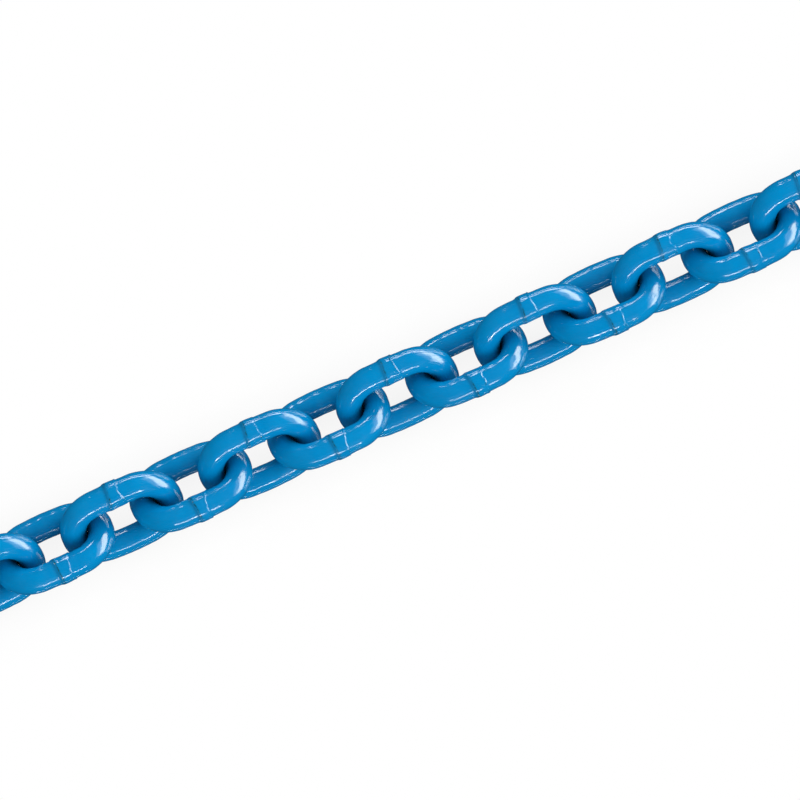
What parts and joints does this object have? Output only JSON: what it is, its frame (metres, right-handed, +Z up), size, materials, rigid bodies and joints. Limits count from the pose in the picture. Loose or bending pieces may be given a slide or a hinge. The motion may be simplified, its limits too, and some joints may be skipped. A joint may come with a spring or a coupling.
{
  "type": "short link lifting chain",
  "caption": "Round bar short link lifting chain, painted blue: closed welded links seated crown in crown, lying straight with the links leaning alternately to either side.",
  "frame": {"origin": "under the middle of the chain, on the plane that it lies on", "axes": "+X along the straight chain from link_01 to link_25, +Z up from the ground"},
  "size_m": [0.9936, 0.0389, 0.0382],
  "materials": {
    "blue_coat": "glossy blue paint on alloy steel bar"
  },
  "bodies": {
    "link_01": {"link_01": "blue_coat"},
    "link_02": {"link_02": "blue_coat"},
    "link_03": {"link_03": "blue_coat"},
    "link_04": {"link_04": "blue_coat"},
    "link_05": {"link_05": "blue_coat"},
    "link_06": {"link_06": "blue_coat"},
    "link_07": {"link_07": "blue_coat"},
    "link_08": {"link_08": "blue_coat"},
    "link_09": {"link_09": "blue_coat"},
    "link_10": {"link_10": "blue_coat"},
    "link_11": {"link_11": "blue_coat"},
    "link_12": {"link_12": "blue_coat"},
    "link_13": {"link_13": "blue_coat"},
    "link_14": {"link_14": "blue_coat"},
    "link_15": {"link_15": "blue_coat"},
    "link_16": {"link_16": "blue_coat"},
    "link_17": {"link_17": "blue_coat"},
    "link_18": {"link_18": "blue_coat"},
    "link_19": {"link_19": "blue_coat"},
    "link_20": {"link_20": "blue_coat"},
    "link_21": {"link_21": "blue_coat"},
    "link_22": {"link_22": "blue_coat"},
    "link_23": {"link_23": "blue_coat"},
    "link_24": {"link_24": "blue_coat"},
    "link_25": {"link_25": "blue_coat"}
  },
  "joints": [
    {"name": "link_02_swing", "type": "hinge", "parent": "link_01", "child": "link_02", "pos_m": [-0.43755, 0, 0.0187], "axis": [0, 0.7071, 0.7071], "range_deg": [-110, 110]},
    {"name": "link_03_swing", "type": "hinge", "parent": "link_02", "child": "link_03", "pos_m": [-0.3989, 0, 0.0187], "axis": [0, -0.7071, 0.7071], "range_deg": [-110, 110]},
    {"name": "link_04_swing", "type": "hinge", "parent": "link_03", "child": "link_04", "pos_m": [-0.36025, 0, 0.0187], "axis": [0, -0.7071, -0.7071], "range_deg": [-110, 110]},
    {"name": "link_05_swing", "type": "hinge", "parent": "link_04", "child": "link_05", "pos_m": [-0.3216, 0, 0.0187], "axis": [0, 0.7071, -0.7071], "range_deg": [-110, 110]},
    {"name": "link_06_swing", "type": "hinge", "parent": "link_05", "child": "link_06", "pos_m": [-0.28295, 0, 0.0187], "axis": [0, 0.7071, 0.7071], "range_deg": [-110, 110]},
    {"name": "link_07_swing", "type": "hinge", "parent": "link_06", "child": "link_07", "pos_m": [-0.2443, 0, 0.0187], "axis": [0, -0.7071, 0.7071], "range_deg": [-110, 110]},
    {"name": "link_08_swing", "type": "hinge", "parent": "link_07", "child": "link_08", "pos_m": [-0.20565, 0, 0.0187], "axis": [0, -0.7071, -0.7071], "range_deg": [-110, 110]},
    {"name": "link_09_swing", "type": "hinge", "parent": "link_08", "child": "link_09", "pos_m": [-0.167, 0, 0.0187], "axis": [0, 0.7071, -0.7071], "range_deg": [-110, 110]},
    {"name": "link_10_swing", "type": "hinge", "parent": "link_09", "child": "link_10", "pos_m": [-0.12835, 0, 0.0187], "axis": [0, 0.7071, 0.7071], "range_deg": [-110, 110]},
    {"name": "link_11_swing", "type": "hinge", "parent": "link_10", "child": "link_11", "pos_m": [-0.0897, 0, 0.0187], "axis": [0, -0.7071, 0.7071], "range_deg": [-110, 110]},
    {"name": "link_12_swing", "type": "hinge", "parent": "link_11", "child": "link_12", "pos_m": [-0.05105, 0, 0.0187], "axis": [0, -0.7071, -0.7071], "range_deg": [-110, 110]},
    {"name": "link_13_swing", "type": "hinge", "parent": "link_12", "child": "link_13", "pos_m": [-0.0124, 0, 0.0187], "axis": [0, 0.7071, -0.7071], "range_deg": [-110, 110]},
    {"name": "link_14_swing", "type": "hinge", "parent": "link_13", "child": "link_14", "pos_m": [0.02625, 0, 0.0187], "axis": [0, 0.7071, 0.7071], "range_deg": [-110, 110]},
    {"name": "link_15_swing", "type": "hinge", "parent": "link_14", "child": "link_15", "pos_m": [0.0649, 0, 0.0187], "axis": [0, -0.7071, 0.7071], "range_deg": [-110, 110]},
    {"name": "link_16_swing", "type": "hinge", "parent": "link_15", "child": "link_16", "pos_m": [0.10355, 0, 0.0187], "axis": [0, -0.7071, -0.7071], "range_deg": [-110, 110]},
    {"name": "link_17_swing", "type": "hinge", "parent": "link_16", "child": "link_17", "pos_m": [0.1422, 0, 0.0187], "axis": [0, 0.7071, -0.7071], "range_deg": [-110, 110]},
    {"name": "link_18_swing", "type": "hinge", "parent": "link_17", "child": "link_18", "pos_m": [0.18085, 0, 0.0187], "axis": [0, 0.7071, 0.7071], "range_deg": [-110, 110]},
    {"name": "link_19_swing", "type": "hinge", "parent": "link_18", "child": "link_19", "pos_m": [0.2195, 0, 0.0187], "axis": [0, -0.7071, 0.7071], "range_deg": [-110, 110]},
    {"name": "link_20_swing", "type": "hinge", "parent": "link_19", "child": "link_20", "pos_m": [0.25815, 0, 0.0187], "axis": [0, -0.7071, -0.7071], "range_deg": [-110, 110]},
    {"name": "link_21_swing", "type": "hinge", "parent": "link_20", "child": "link_21", "pos_m": [0.2968, 0, 0.0187], "axis": [0, 0.7071, -0.7071], "range_deg": [-110, 110]},
    {"name": "link_22_swing", "type": "hinge", "parent": "link_21", "child": "link_22", "pos_m": [0.33545, 0, 0.0187], "axis": [0, 0.7071, 0.7071], "range_deg": [-110, 110]},
    {"name": "link_23_swing", "type": "hinge", "parent": "link_22", "child": "link_23", "pos_m": [0.3741, 0, 0.0187], "axis": [0, -0.7071, 0.7071], "range_deg": [-110, 110]},
    {"name": "link_24_swing", "type": "hinge", "parent": "link_23", "child": "link_24", "pos_m": [0.41275, 0, 0.0187], "axis": [0, -0.7071, -0.7071], "range_deg": [-110, 110]},
    {"name": "link_25_swing", "type": "hinge", "parent": "link_24", "child": "link_25", "pos_m": [0.4514, 0, 0.0187], "axis": [0, 0.7071, -0.7071], "range_deg": [-110, 110]}
  ]
}
